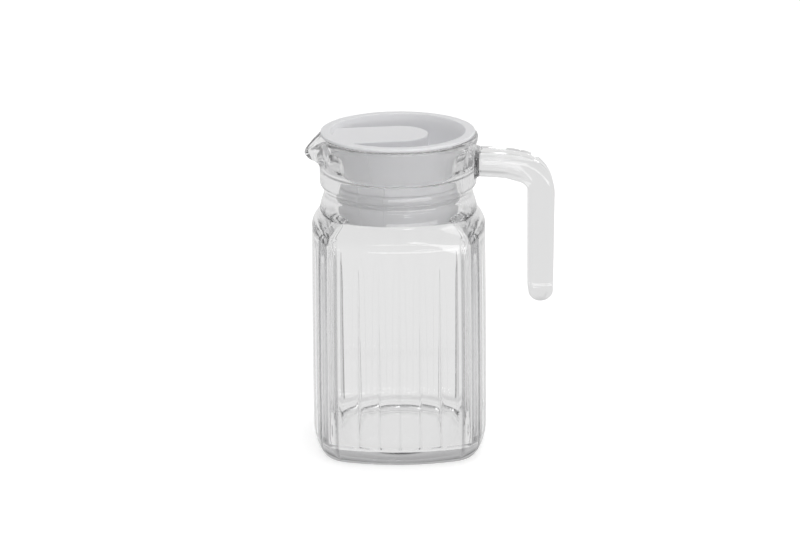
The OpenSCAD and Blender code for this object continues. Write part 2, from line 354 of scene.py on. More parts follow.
def swept_skin(rings, first, last):
    """A closed skin through rings of points, each with the strength of its painted shade, and a point at each
    end.
    """
    bm = bmesh.new()
    order, line = ring_layers(bm)
    disc = bmesh.ops.create_circle(bm, cap_ends=False, segments=len(rings[0]), radius=1)["verts"]
    for number, vert in enumerate(disc):
        vert[order] = number
        vert.co, vert[line] = rings[0][number]
    loop = list(bm.edges)
    close_end(bm, loop, first)
    for ring in rings[1:]:
        loop = draw_up(bm, loop, ring)
    close_end(bm, loop, last)
    return bm


# Glass jug. Sections are in millimetres.


# A ring's height, half width, rounding from square (0) to circle (1), and its grooves' and flutes' depth
Station = namedtuple("Station", "height half roundness groove flute", defaults=(1.0, 0.0, 0.0))

# Half width of a painted shade line, reach of a groove on the panel and its share of the corner, and reach of
# a cusp
CREASE_HALF, CREASE_REACH, CORNER_REACH, CUSP_REACH = 0.4, 1.2, 1 / 8, 1.1
FLUTE_STEPS = (0.26, 0.42, 0.58, 0.74)
CORNER_STEPS = (0.0, 0.04, 0.12, 0.22, 0.34, 0.45, 0.55, 0.66, 0.78, 0.88, 0.96)
# The cusps are sharp, and shallow where a panel meets a corner
FLUTE_POWER, EDGE_FLUTE = 0.55, 0.15
# Strength of the painted shade: lines in a groove and beside it, and a band low in the heel
GROOVE_SHADE, GROOVE_SIDE_SHADE, HEEL_SHADE = 0.65, 0.6, 0.36
# On the cusps, and their shares of it beside a corner and high on the wall
CUSP_SHADE, EDGE_CUSP_SHADE, HIGH_CUSP_SHADE = 0.18, 0.1, 0.35
# The heel's painted shade band comes in and goes out between these heights, on rings wider than this half
# width
HEEL_IN, HEEL_OUT, HEEL_FROM = (0.3, 3.3), (7.5, 5.0), 20
# Going down from the panels' top, the grooves' painted shade lines grow over the first depth, the flutes
# between two more
GROOVE_FADE, FLUTE_FADE = 7, (6, 20)
# The cusps' painted shade lines and the flutes are full below the second height, and weaker above the first
CUSP_GROWTH, FLUTE_GROWTH, HIGH_FLUTE = (85, 35), (95, 45), 0.6
# Half the spout's angle in degrees, the height of its root, and how far below the rim it is at its fullest
SPOUT_HALF, SPOUT_ROOT, SPOUT_FULL = 25, 144, 2
# Underside of the foot: height, and distance in from the foot's edge
FOOT_SECTION = ((1.35, 8.5), (1.0, 6.0), (0.3, 4.2), (0.0, 3.5), (0.0, 1.2))
# The corners run into the round shoulder from this far below the panels' top, and the last side ring lies
# this far below it. The powers say how gently the corners and the shoulder's slope set in.
CORNER_START, SIDE_END, CORNER_POWER, SHOULDER_POWER = 3.0, 1.2, 1.5, 1.45
SHOULDER_STEPS = (-0.06, 0.0, 0.05, 0.1, 0.16, 0.24, 0.36, 0.5, 0.65, 0.8, 0.9, 1.0)
# Share of the way up the neck, and share of its narrowing to the waist
NECK_CURVE = ((0.15, 0.04), (0.3, 0.16), (0.45, 0.34), (0.6, 0.55), (0.75, 0.77), (0.88, 0.94))
# Height over the waist, and share of the step out to the collar
COLLAR_STEP = (
    (0.0, 0.0), (1.1, 0.075), (2.1, 0.3), (3.0, 0.625), (3.8, 0.875), (4.9, 1.0), (7.2, 1.0), (9.7, 1.0),
)
COLLAR_RINGS = (144, 145.5, 147, 148.5, 150, 151.5, 153, 154.5, 156)
# Depth below the rim, and how far the rolled rim stands out past the collar, and inside past the mouth
RIM_OUTSIDE = (
    (4.0, 0.15), (3.4, 0.45), (2.6, 0.6), (1.8, 0.7), (1.0, 0.65), (0.4, 0.35), (0.05, -0.2), (0.0, -0.9),
)
RIM_INSIDE = ((0.0, 1.65), (0.06, 0.95), (0.5, 0.4), (1.4, 0.0))
MOUTH_STEPS = (0.12, 0.25, 0.4, 0.55, 0.7, 0.85)
# Depth below the throat's top, and how far it is wider than the throat
THROAT_SECTION = ((0.0, 1.0), (0.7, 0.6), (1.3, 0.15), (2.0, 0.0), (9.0, 0.0), (14.0, 0.0), (15.0, 0.05))
CAVITY_STEPS = (0.97, 0.92, 0.86, 0.78, 0.7, 0.6, 0.5, 0.4, 0.3, 0.22, 0.14, 0.08, 0.03)
# The inside narrows towards the throat from this far below the panels' top, part straight and part eased
CAVITY_TOP, CAVITY_EASE = 3.5, 0.4
WALL_STEPS = (0, 0.25, 0.5, 0.75, 1, 1.25, 2, 3, 4, 5, 6, 7, 8, 9, 10, 11)
# Height over the middle of the floor, distance in from the walls, rounding, and share of the flutes' depth
FLOOR_SECTION = ((0.7, 7.5, 0.15, 0.3), (0.4, 12.0, 0.2, 0.2))
# The floor's edge lies this much higher than its middle; the walls' lowest plain ring has this height
FLOOR_EDGE, WALL_FOOT = 1.0, 14


def outer_outline(size):
    """The body's outline: half width, half width of a panel, its bulge, and how far the corners stand out."""
    return size.body_half, size.panel_half, size.panel_bulge, size.column


def inner_outline(size):
    """The same inside: one wall further in, with corners that run smoothly into the panels."""
    half = size.body_half - size.wall
    panel = size.panel_half - size.wall * math.sin(math.atan(2 * size.panel_bulge / size.panel_half))
    chord = (half - size.panel_bulge - panel) * math.sqrt(2)
    stand = chord * math.tan(math.pi / 4 - math.atan(2 * size.panel_bulge / panel)) / math.pi
    return half, panel, size.panel_bulge, stand


def panel_steps(size, half):
    """Distances along a panel: close together at its edges and at the cusps of the flutes."""
    width = 2 * half / size.flute_count
    steps = [-half, -half + CREASE_HALF, -half + CREASE_REACH]
    for number in range(size.flute_count):
        left = -half + number * width
        steps += [left + width * share for share in FLUTE_STEPS]
        if number < size.flute_count - 1:
            cusp = left + width
            steps += [cusp + off for off in (-CUSP_REACH, -CREASE_HALF, 0, CREASE_HALF, CUSP_REACH)]
    return steps + [half - CREASE_REACH, half - CREASE_HALF]


def flute_rise(phase):
    """Height of a flute's surface at a phase: 1 on its cusps, 0 in its middle."""
    return 1 - abs(math.sin(math.pi * phase)) ** FLUTE_POWER


def body_outline(size, outline, groove, flute):
    """One ring of the body at its full width: panels and corners, four times."""
    full, half, bulge, stand = outline
    edge, width = full - bulge, 2 * half / size.flute_count
    quarter = []
    for u in panel_steps(size, half):
        off_edge = half - abs(u)
        near = max(0.0, 1 - off_edge / CREASE_REACH)
        depth = flute * mix(EDGE_FLUTE, 1, ease(off_edge / width))
        cut = groove * near**1.5 + depth * flute_rise((u + half) / width)
        point = Vector((edge + bulge * (1 - (u / half) ** 2), u, 0))
        inward = Vector((-1, 0, 0)).lerp(Vector((-1, math.copysign(1, -u), 0)), near).normalized()
        quarter.append(point + inward * cut)
    for t in CORNER_STEPS:
        near = max(0.0, 1 - min(t, 1 - t) / CORNER_REACH)
        cut = groove * near**1.5 + EDGE_FLUTE * flute * flute_rise(t)
        out = (stand * math.sin(math.pi * t) - cut) * math.sqrt(0.5)
        quarter.append(Vector((mix(edge, half, t) + out, mix(half, edge, t) + out, 0)))
    turns = [Matrix.Rotation(math.radians(90 * turn), 3, "Z") for turn in range(4)]
    return [turn @ point for turn in turns for point in quarter]


def painted_line_shade(size, half, number, outside):
    """Strength of the painted shade line at a point of a ring: outside in the grooves, inside on the flutes'
    cusps.
    """
    steps = panel_steps(size, half)
    panel, whole = len(steps), len(steps) + len(CORNER_STEPS)
    place = number % whole
    if place in (0, panel):
        return GROOVE_SHADE if outside else EDGE_CUSP_SHADE
    if outside:
        return GROOVE_SIDE_SHADE if place in (1, panel - 1, panel + 1, whole - 1) else 0.0
    if place > panel:
        return 0.0
    phase = (steps[place] + half) * size.flute_count / (2 * half) % 1
    return 1.0 if min(phase, 1 - phase) < 0.001 else 0.0


def spout_pull(size, point, height):
    """How much the spout draws a point of the neck outwards and down, from 0 to 1."""
    off = abs(math.degrees(math.atan2(point.y, -point.x)))
    near = 0.5 + 0.5 * math.cos(math.radians(180 * off / SPOUT_HALF)) if off < SPOUT_HALF else 0.0
    return near * ramp(height, SPOUT_ROOT, size.rim_height - SPOUT_FULL)


def jug_ring(size, outside, station):
    """A ring of the glass: the body's outline scaled to its half width and rounded towards a circle, each
    point with the strength of its painted shade.
    """
    height, half, roundness, groove, flute = station
    outline = outer_outline(size) if outside else inner_outline(size)
    full, panel = outline[:2]
    plain = body_outline(size, outline, 0, 0)
    shaped = body_outline(size, outline, groove, flute)
    if outside:
        strength = ramp(height, size.panel_top, size.panel_top - GROOVE_FADE) * groove / size.groove
        # Painted shade: a dark band low in the heel, for the shade under the jug seen through the foot
        heel = HEEL_SHADE * ramp(height, *HEEL_OUT) * ramp(height, *HEEL_IN) if half > HEEL_FROM else 0.0
    else:
        strength = CUSP_SHADE * mix(HIGH_CUSP_SHADE, 1, ramp(height, *CUSP_GROWTH)) * flute / size.flute_depth
        heel = 0.0
    ring = []
    for number, (square, direction) in enumerate(zip(shaped, plain)):
        flat = (square * (half / full)).lerp(direction.normalized() * half, roundness)
        pull = spout_pull(size, flat, height)
        flat *= 1 + pull * size.spout_reach / flat.length
        place = Vector((flat.x, flat.y, height - pull * size.spout_drop)) * MM
        ring.append((place, max(heel, strength * painted_line_shade(size, panel, number, outside))))
    return ring


def swell(size, height):
    """How far the sides stand out past their width under the shoulder."""
    over = max(0.0, height - size.belly_height)
    return size.belly * (1 - (over / (size.panel_top - size.belly_height)) ** 2)


def corner_rounding(size, height):
    """How far the corners have run into the round shoulder at a height."""
    over = max(0.0, height - size.panel_top + CORNER_START)
    return (over / (CORNER_START + size.shoulder_height)) ** CORNER_POWER


def foot_stations(size):
    """From the middle of the underside over the foot ring and up the heel."""
    foot = size.body_half + size.belly - size.heel_inset
    rows = [Station(size.push_up, 8, 0.3), Station(size.push_up, 20, 0.2)]
    rows += [Station(height, foot - inset, 0.1) for height, inset in FOOT_SECTION]
    for t in (n / 12 for n in range(12)):
        height = size.heel_rise * (1 - math.cos(QUARTER * t))
        half = foot + size.heel_inset * math.sin(QUARTER * t)
        rows.append(Station(height, half, 0.1 * (1 - t), size.groove * ease(2 * t - 0.7)))
    return rows


def side_stations(size):
    """Up the panels and over the shoulder to the neck."""
    rows = []
    for n in range(13):
        height = mix(size.heel_rise, size.panel_top - SIDE_END, n / 12)
        half = size.body_half + swell(size, height)
        rows.append(Station(height, half, corner_rounding(size, height), size.groove))
    for t in SHOULDER_STEPS:
        height = size.panel_top + size.shoulder_height * t
        t = max(t, 0)
        half = mix(size.body_half, size.neck_half, t**SHOULDER_POWER)
        rows.append(Station(height, half, corner_rounding(size, height), size.groove * max(0, 1 - 4 * t)))
    return rows


def neck_stations(size):
    """Up the neck, the waist and the collar to the top of the rolled rim."""
    foot = size.panel_top + size.shoulder_height
    rows = [
        Station(mix(foot, size.waist_height, t), mix(size.neck_half, size.waist_half, share))
        for t, share in NECK_CURVE
    ]
    for over, share in COLLAR_STEP:
        rows.append(Station(size.waist_height + over, mix(size.waist_half, size.collar_half, share)))
    rows += [Station(height, size.collar_half) for height in COLLAR_RINGS]
    rows += [Station(size.rim_height - depth, size.collar_half + out) for depth, out in RIM_OUTSIDE]
    return rows


def mouth_stations(size):
    """From the rim down the mouth's cone and the throat."""
    rows = [Station(size.rim_height - depth, size.mouth_half + out) for depth, out in RIM_INSIDE]
    start = rows[-1].height
    end = size.throat_half + THROAT_SECTION[0][1]
    rows += [Station(mix(start, size.throat_top, t), mix(size.mouth_half, end, t)) for t in MOUTH_STEPS]
    rows += [Station(size.throat_top - depth, size.throat_half + out) for depth, out in THROAT_SECTION]
    return rows


def cavity_stations(size):
    """From the throat over the inside of the shoulder and down the fluted walls."""
    inner, top = size.body_half - size.wall, size.panel_top - CAVITY_TOP
    throat = size.throat_top - THROAT_SECTION[-1][0]
    rows = []
    for t in CAVITY_STEPS:
        half = mix(inner, size.throat_half, mix(t, ease(t), CAVITY_EASE))
        rows.append(Station(mix(top, throat, t), half, ease(1.1 * t)))
    for n in WALL_STEPS:
        height = mix(top, size.belly_height, n / WALL_STEPS[-1])
        share = ramp(size.panel_top - height, *FLUTE_FADE) * mix(HIGH_FLUTE, 1, ramp(height, *FLUTE_GROWTH))
        rows.append(Station(height, inner + swell(size, height), 0, 0, size.flute_depth * share))
    return rows


def floor_stations(size):
    """From the foot of the walls round the inside edge to the middle of the floor."""
    full = size.body_half - size.wall + size.belly
    edge, radius = size.floor_height + FLOOR_EDGE, size.floor_radius
    rows = [Station(WALL_FOOT, full, 0, 0, size.flute_depth)]
    for t in (n / 10 for n in range(11)):
        inset = radius * (1 - math.cos(QUARTER * t)) + 0.3 * min(1, 5 * t)
        height = edge + radius * (1 - math.sin(QUARTER * t))
        rows.append(Station(height, full - inset, 0.1 * t, 0, size.flute_depth * (1 - 0.5 * t)))
    for over, inset, roundness, share in FLOOR_SECTION:
        rows.append(Station(size.floor_height + over, full - inset, roundness, 0, size.flute_depth * share))
    return rows + [Station(size.floor_height + 0.1, 18, 0.3), Station(size.floor_height, 8, 0.4)]


def jug_skin(size):
    """The jug as one closed skin: outside from the foot up to the rim, then inside down to the floor."""
    outside = foot_stations(size) + side_stations(size) + neck_stations(size)
    inside = mouth_stations(size) + cavity_stations(size) + floor_stations(size)
    rings = [jug_ring(size, True, row) for row in outside] + [jug_ring(size, False, row) for row in inside]
    return swept_skin(rings, Vector((0, 0, size.push_up)) * MM, Vector((0, 0, size.floor_height)) * MM)


# Handle, in millimetres


BAR_EDGE, BAR_STEPS = 4.0, 9
# Distances of the bar's hidden tip, first ring and flare from the jug's axis, and the flare's length
ROOT_TIP, ROOT_INSIDE, ROOT_START, ROOT_LENGTH = 33, 36, 38.8, 1.4
ROOT_STEPS = (0, 0.15, 0.35, 0.6, 1.0)
# How far the flare sinks and how it tilts, the slope of the arm's top there, and where the bend starts
ROOT_SINK, ROOT_TILT, ARM_LEAN, BEND_START = 0.1, 0.03, 0.05, math.radians(12)
# How much narrower and thinner the leg gets, and how round its end is from the side
LEG_NARROWING, LEG_THINNING, END_ROUNDING = 0.8, 0.6, 0.75
# The fused skin is handle past the first distance from the axis, and past the second above this height
LEG_FROM, ARM_FROM, ARM_ABOVE = 50, 39.6, 130


def bar_ring(x, z, fall, width, thick):
    """A ring of the handle: a rounded rectangle across the bar's direction, which falls by an angle."""
    radius = min(BAR_EDGE, 0.45 * width, 0.45 * thick)
    ring = []
    for quarter in range(4):
        side, top = (1, -1, -1, 1)[quarter], (1, 1, -1, -1)[quarter]
        for n in range(BAR_STEPS + 1):
            a = QUARTER * (quarter + n / BAR_STEPS)
            across = side * (width / 2 - radius) + radius * math.cos(a)
            up = top * (thick / 2 - radius) + radius * math.sin(a)
            ring.append((Vector((x + up * math.sin(fall), across, z + up * math.cos(fall))) * MM, 0.0))
    return ring


def bend_middle(size):
    """The point that the bend turns about."""
    x = size.handle_reach - size.leg_thickness / 2 - size.bend_radius
    return x, size.arm_height - size.arm_fall - size.bend_radius


def root_rings(size):
    """The arm's flared root on the collar."""
    grow = 2 * size.root_flare
    rings = [bar_ring(ROOT_INSIDE, size.arm_height, 0, size.bar_width + grow, size.arm_thickness + grow)]
    for t in ROOT_STEPS:
        grow = 2 * size.root_flare * (1 - math.sin(QUARTER * t))
        x, z = ROOT_START + ROOT_LENGTH * t, size.arm_height - ROOT_SINK * t
        rings.append(bar_ring(x, z, ROOT_TILT * t, size.bar_width + grow, size.arm_thickness + grow))
    return rings


def arm_rings(size):
    """The arm: its top follows a curve from the root's slope to the bend's, and it thickens near the bend."""
    cx, cz = bend_middle(size)
    outer = size.bend_radius + size.leg_thickness / 2
    start, tilt = ROOT_START + ROOT_LENGTH, math.tan(BEND_START)
    high = size.arm_height - ROOT_SINK + size.arm_thickness / 2
    low = cz + outer * math.cos(BEND_START)
    reach = cx + outer * math.sin(BEND_START) - start
    rings = []
    for t in (n / 10 for n in range(1, 10)):
        top = mix(high, low, ease(t)) + reach * (tilt * t * t * (1 - t) - ARM_LEAN * t * (1 - t) ** 2)
        slope = (high - low) / reach * 6 * t * (1 - t) + ARM_LEAN * (1 - 4 * t + 3 * t * t)
        slope = math.atan(slope - tilt * (2 * t - 3 * t * t))
        thick = mix(size.arm_thickness, size.leg_thickness, ease(2.5 * t - 1.5))
        x, z = start + reach * t - thick / 2 * math.sin(slope), top - thick / 2 * math.cos(slope)
        rings.append(bar_ring(x, z, slope, size.bar_width, thick))
    return rings


def leg_rings(size):
    """The bend, the leg, which narrows a little, and its round end."""
    cx, cz = bend_middle(size)
    bend, width, thick = size.bend_radius, size.bar_width, size.leg_thickness
    rings = []
    for n in range(19):
        a = mix(BEND_START, QUARTER, n / 18)
        rings.append(bar_ring(cx + bend * math.sin(a), cz + bend * math.cos(a), a, width, thick))
    x, foot = size.handle_reach - thick / 2, size.handle_end + thick / 2
    for t in (n / 8 for n in range(1, 9)):
        narrow, thin = width - LEG_NARROWING * t, thick - LEG_THINNING * t
        rings.append(bar_ring(x, mix(cz, foot, t), QUARTER, narrow, thin))
    for a in (QUARTER * n / 10 for n in range(1, 10)):
        across = narrow * mix(1, math.cos(a), END_ROUNDING)
        rings.append(bar_ring(x, foot - thick / 2 * math.sin(a), QUARTER, across, thin * math.cos(a)))
    return rings


def handle_skin(size):
    """The whole bar as one closed skin, from inside the collar to the round end of its leg."""
    rings = root_rings(size) + arm_rings(size) + leg_rings(size)
    first = Vector((ROOT_TIP, 0, size.arm_height)) * MM
    last = Vector((size.handle_reach - size.leg_thickness / 2, 0, size.handle_end)) * MM
    return swept_skin(rings, first, last)


def clear_handle_painted_shade(mesh):
    """Takes the painted shade lines off the handle, where the fusing leaves some of the jug's."""
    lines = mesh.attributes["painted_line_shade"].data
    for vert in mesh.vertices:
        x, z = vert.co.x / MM, vert.co.z / MM
        if x > LEG_FROM or (x > ARM_FROM and z > ARM_ABOVE):
            lines[vert.index].value = 0


def clear_glass(finish):
    """Clear pressed glass: a faint wave in its surface, painted shade along its grooves, cusps and heel, and
    darker where it is thick.
    """
    material, nodes, links = new_material("clear pressed glass")
    shader = nodes["Principled BSDF"]
    line = nodes.new("ShaderNodeAttribute")
    line.attribute_name = "painted_line_shade"
    # Painted shade: the glass's colour runs to the dark tint where the painted shade layer is strong
    painted_shade_mix = nodes.new("ShaderNodeMix")
    painted_shade_mix.data_type = "RGBA"
    painted_shade_mix.inputs["A"].default_value = (*finish.glass_tint, 1)
    painted_shade_mix.inputs["B"].default_value = (*finish.painted_shade_tint, 1)
    links.new(line.outputs["Fac"], painted_shade_mix.inputs["Factor"])
    links.new(painted_shade_mix.outputs["Result"], shader.inputs["Base Color"])
    shader.inputs["Roughness"].default_value = 0.015
    shader.inputs["IOR"].default_value = 1.5
    shader.inputs["Transmission Weight"].default_value = 1.0
    links.new(surface_noise(nodes, links, 25, 1.0, 0.05, 0.001), shader.inputs["Normal"])
    dim = nodes.new("ShaderNodeVolumeAbsorption")
    dim.inputs["Color"].default_value = (*finish.glass_depth, 1)
    dim.inputs["Density"].default_value = 8
    links.new(dim.outputs["Volume"], nodes["Material Output"].inputs["Volume"])
    return material


def surface_noise(nodes, links, scale, detail, strength, distance):
    """The normal of a surface with a fine unevenness, from a noise in the object's own space."""
    place = nodes.new("ShaderNodeTexCoord")
    noise = nodes.new("ShaderNodeTexNoise")
    noise.inputs["Scale"].default_value = scale
    noise.inputs["Detail"].default_value = detail
    bump = nodes.new("ShaderNodeBump")
    bump.inputs["Strength"].default_value = strength
    bump.inputs["Distance"].default_value = distance
    links.new(place.outputs["Object"], noise.inputs["Vector"])
    links.new(noise.outputs["Fac"], bump.inputs["Height"])
    return bump.outputs["Normal"]


class PITCHER_OT_glass(bpy.types.Operator):
    """Model the jug and its handle as one clear glass skin"""

    bl_idname = "pitcher.glass"
    bl_label = "Glass jug and handle"

    def execute(self, context):
        size = sizes(context.scene)
        glass = clear_glass(context.scene.pitcher_finish)
        jug = mesh_piece("glass_jug_skin", jug_skin(size), glass)
        bar = mesh_piece("handle_bar", handle_skin(size), glass)
        fuse = jug.modifiers.new("fuse", "BOOLEAN")
        fuse.operation = "UNION"
        fuse.solver = "EXACT"
        fuse.object = bar
        whole = bpy.data.meshes.new_from_object(jug.evaluated_get(context.evaluated_depsgraph_get()))
        jug.modifiers.clear()
        jug.data = whole
        bpy.data.objects.remove(bar)
        clear_handle_painted_shade(whole)
        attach(jug, "jug")
        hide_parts("glass_jug", "handle")
        return {"FINISHED"}


# Lid. Sections are radius and height, in millimetres.


# Dish, from its floor up to the flat ring
DISH = (
    (24.3, 145.7), (25.6, 145.87), (26.8, 146.37), (27.85, 147.16), (28.65, 148.2), (29.15, 149.4),
    (29.4, 150.9), (30.4, 154.5), (31.7, 159.1), (32.46, 160.5), (33.15, 161.8), (33.33, 162.2),
    (33.45, 162.45), (33.6, 162.6), (33.8, 162.67), (34.0, 162.68),
)
DISH_EDGE = 32.46
# Flange and outer cone, from the ring down to the ledge
FLANGE = (
    (36.0, 162.68), (37.8, 162.68), (38.0, 162.67), (38.2, 162.58), (38.34, 162.42), (38.4, 162.2),
    (38.4, 161.6), (38.35, 161.3), (38.2, 161.15), (38.0, 161.1), (36.0, 161.1), (34.7, 161.1),
    (34.35, 161.05), (34.1, 160.9), (33.96, 160.6), (33.4, 159.0), (31.4, 152.0), (29.6, 145.7),
    (28.85, 143.1), (28.75, 142.6), (28.8, 142.0), (29.0, 141.3),
)
# Heights of the sealing beads, and the stopper's outside, its foot and its inside up to the grip
STOPPER_RADIUS, BEADS, BEAD_RADIUS, BEAD_END = 29.0, (136.2, 132.9, 129.6), 1.0, 1.2
STOPPER_FOOT = (
    (29.0, 123.2), (29.0, 122.5), (28.95, 122.2), (28.75, 122.05), (28.5, 122.0), (27.8, 122.0),
    (27.5, 122.06), (27.35, 122.25), (27.3, 122.5), (27.3, 123.2), (27.3, 143.4), (27.25, 143.8),
    (27.05, 144.0),
)
# The inside of the grip: its radius and height where it starts, the heights above that, and the cone that
# limits it: its foot and how much it widens per millimetre
INSIDE_RADIUS, INSIDE_HEIGHT, GRIP_INSIDE = 27.0, 144.0, (144.3, 150, 158.4)
CONE_FOOT, CONE_SPREAD = 142.6, 5.3 / 18.5
# Rounding of the grip's upper edge and of its foot
GRIP_EDGE, GRIP_FOOT = 0.6, 0.8
EDGE_TURNS = tuple(math.radians(degrees) for degrees in (22, 45, 68, 90))
# Mould marks: direction in degrees, lower and upper end; they stay clear of the throat below the ledge
MOULD_RIBS = ((-115.5, 143.0, 160.0), (-128.0, 122.6, 141.5), (-103.0, 122.6, 141.5))
RIB_HEIGHT, RIB_HALF, RIB_LIMIT, LEDGE = 0.35, 0.6, 30.1, 142
# Where the grip's sides run out into the dish, in degrees from the middle of its back
GRIP_RUN_OUT, RUN_OUT_STEPS = 24, 30


def grip_reach(size, turn, margin):
    """Distance from the lid's axis to the edge of the grip, drawn in by a margin."""
    half = size.grip_half - margin
    along = size.grip_middle * math.cos(turn) + size.grip_aside * math.sin(turn)
    reach = along + math.sqrt(along**2 + half**2 - size.grip_middle**2 - size.grip_aside**2)
    if reach * math.cos(turn) >= size.grip_middle:
        return reach
    side = half + math.copysign(size.grip_aside, math.sin(turn))
    return side / max(abs(math.sin(turn)), 0.01)


def dish_height(radius):
    """Height of the dish at a distance from the axis."""
    if radius <= DISH[0][0]:
        return DISH[0][1]
    for (r0, z0), (r1, z1) in zip(DISH, DISH[1:]):
        if radius <= r1:
            return mix(z0, z1, (radius - r0) / (r1 - r0))
    return DISH[-1][1]


def stopper_outside():
    """Section of the lid's outside, from the flat ring down past the sealing beads."""
    section = list(FLANGE)
    for middle in BEADS:
        section.append((STOPPER_RADIUS, middle + BEAD_END))
        for a in (math.radians(degrees) for degrees in (90, 65, 40, 15, -15, -40, -65, -90)):
            section.append((STOPPER_RADIUS + BEAD_RADIUS * math.cos(a), middle + BEAD_RADIUS * math.sin(a)))
        section.append((STOPPER_RADIUS, middle - BEAD_END))
    return section


def rib_height(degrees, z):
    """How far the mould marks stand out at a place on the lid's outside."""
    out = 0.0
    for place, low, high in MOULD_RIBS:
        off = abs((degrees - place + 180) % 360 - 180)
        if low <= z <= high:
            out = max(out, RIB_HEIGHT * max(0.0, 1 - off / RIB_HALF))
    return out


def grip_section(size, turn):
    """Section of the lid's top in one direction: over the grip, down its side and out over the dish."""
    top = size.grip_height
    edge = min(grip_reach(size, turn, 0), DISH_EDGE)
    drop = max(0.0, top - dish_height(edge))
    upper, lower = min(GRIP_EDGE, 0.4 * drop), min(GRIP_FOOT, 0.4 * drop)
    start, low = min(grip_reach(size, turn, upper), edge), top - drop
    section = [(start * share, top) for share in (0.3, 0.6, 0.9, 0.99, 1)]
    for a in EDGE_TURNS:
        reach = grip_reach(size, turn, upper * (1 - math.sin(a)))
        section.append((min(edge, reach), top - upper * (1 - math.cos(a))))
    section += [(edge, mix(top - upper, low + lower, share)) for share in (0.02, 0.5, 0.98, 1)]
    for a in EDGE_TURNS:
        out = grip_reach(size, turn, -lower * (1 - math.cos(a))) if drop else edge
        section.append((out, max(low + lower * (1 - math.sin(a)), dish_height(out))))
    start = section[-1][0]
    radii = [mix(start, DISH[0][0], share) for share in (0.03, 0.5)] + [point[0] for point in DISH]
    return section + [(r, dish_height(r)) for r in (max(start, radius) for radius in radii)]


def lid_column(size, degrees):
    """Section of the lid in one direction: over the grip and the rim, down the stopper and up inside it."""
    turn = math.radians(degrees) - size.lid_turn
    column = grip_section(size, turn)
    for r, z in stopper_outside():
        limit = RIB_LIMIT if z < LEDGE else math.inf
        column.append((max(r, min(r + rib_height(degrees, z), limit)), z))
    column += STOPPER_FOOT
    inside, ceiling = grip_reach(size, turn, size.lid_wall), size.grip_height - size.lid_wall
    column.append((min(inside, INSIDE_RADIUS), INSIDE_HEIGHT))
    for z in (*GRIP_INSIDE, ceiling):
        column.append((min(inside, INSIDE_RADIUS + CONE_SPREAD * (z - CONE_FOOT)), z))
    return column + [(column[-1][0] * share, ceiling) for share in (0.95, 0.5)]


def lid_directions(size):
    """Directions round the lid: closer together at the mould marks and where the grip runs into the dish."""
    back = 180 + round(math.degrees(size.lid_turn))
    sides = (GRIP_RUN_OUT + 0.5 * n for n in range(RUN_OUT_STEPS))
    turns = {1.5 * n for n in range(240)}
    turns |= {(back + side * off) % 360 for off in sides for side in (-1, 1)}
    turns |= {(place + 0.3 * n) % 360 for place, *_ in MOULD_RIBS for n in range(-3, 4)}
    return sorted(turns)


def lid_skin(size):
    """The whole lid as one closed skin, from the middle of the grip's top to the middle of its underside."""
    turns = lid_directions(size)
    columns = [lid_column(size, degrees) for degrees in turns]
    rings = []
    for row in zip(*columns):
        ring = []
        for a, (r, z) in zip(map(math.radians, turns), row):
            ring.append((Vector((r * math.cos(a), r * math.sin(a), z)) * MM, 0.0))
        rings.append(ring)
    first = Vector((0, 0, size.grip_height)) * MM
    last = Vector((0, 0, size.grip_height - size.lid_wall)) * MM
    bm = swept_skin(rings, first, last)
    bmesh.ops.remove_doubles(bm, verts=bm.verts, dist=1e-6)
    return bm


def milky_plastic(finish):
    """Satin white polyethylene, a little milky, with a fine moulded grain."""
    material, nodes, links = new_material("satin white polyethylene")
    shader = nodes["Principled BSDF"]
    shader.inputs["Base Color"].default_value = (*finish.lid_colour, 1)
    shader.inputs["Roughness"].default_value = 0.5
    shader.inputs["IOR"].default_value = 1.5
    shader.inputs["Subsurface Weight"].default_value = 1.0
    shader.inputs["Subsurface Radius"].default_value = (1, 1, 1)
    shader.inputs["Subsurface Scale"].default_value = 0.001
    links.new(surface_noise(nodes, links, 2500, 2.0, 0.15, 0.0001), shader.inputs["Normal"])
    return material


class PITCHER_OT_lid(bpy.types.Operator):
    """Model the moulded stopper lid with its dish, grip, rounded edges and sealing beads"""

    bl_idname = "pitcher.lid"
    bl_label = "Stopper lid"

    def execute(self, context):
        plastic = milky_plastic(context.scene.pitcher_finish)
        lid = mesh_piece("lid_moulding", lid_skin(sizes(context.scene)), plastic)
        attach(lid, "lid")
        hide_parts("lid")
        return {"FINISHED"}


# Stage


# The room's grey by height, as the sine of the elevation: what glass shows, and what lights the rest
BACKGROUND = 0.83
SEEN_ROOM = ((0.0, BACKGROUND), (0.2, BACKGROUND), (0.5, 0.62), (1.0, 0.46))
LIT_ROOM = ((0.0, 0.6), (0.15, 0.45), (0.4, 0.25), (0.75, 0.6), (1.0, 1.0))
FLOOR_HALF, FLOOR_LIFT = 4, 0.6
# Name, place, width, height and watts
LAMPS = (
    ("overhead", (0.25, 0.3, 1.05), 0.6, 0.6, 1.97),
    ("front", (0.25, -1.0, 0.6), 0.22, 0.22, 0.7),
    ("fill", (0.6, -1.6, 0.19), 2.6, 0.36, 11),
)
LAMP_AIM = (0, 0, 0.1)
BOUNCES = 32
# The photo's camera: its focal length is in pixels of a picture of this width
EYE, AIM, ROLL = (0, -1.2, 0.4722), (0.00055, 0, 0.09165), math.radians(-0.45)
FOCAL_PIXELS, PICTURE_WIDTH, SENSOR = 2498, 800, 36


def grey(value):
    return (value, value, value, 1)


def lamp(name, place, width, height, watts):
    """A soft rectangular lamp that faces the jug."""
    light = bpy.data.lights.new(name, "AREA")
    light.shape = "RECTANGLE"
    light.size, light.size_y = width, height
    light.energy = watts
    holder = bpy.data.objects.new(name, light)
    holder.location = place
    holder.rotation_euler = (Vector(LAMP_AIM) - Vector(place)).to_track_quat("-Z", "Y").to_euler()
    bpy.context.scene.collection.objects.link(holder)


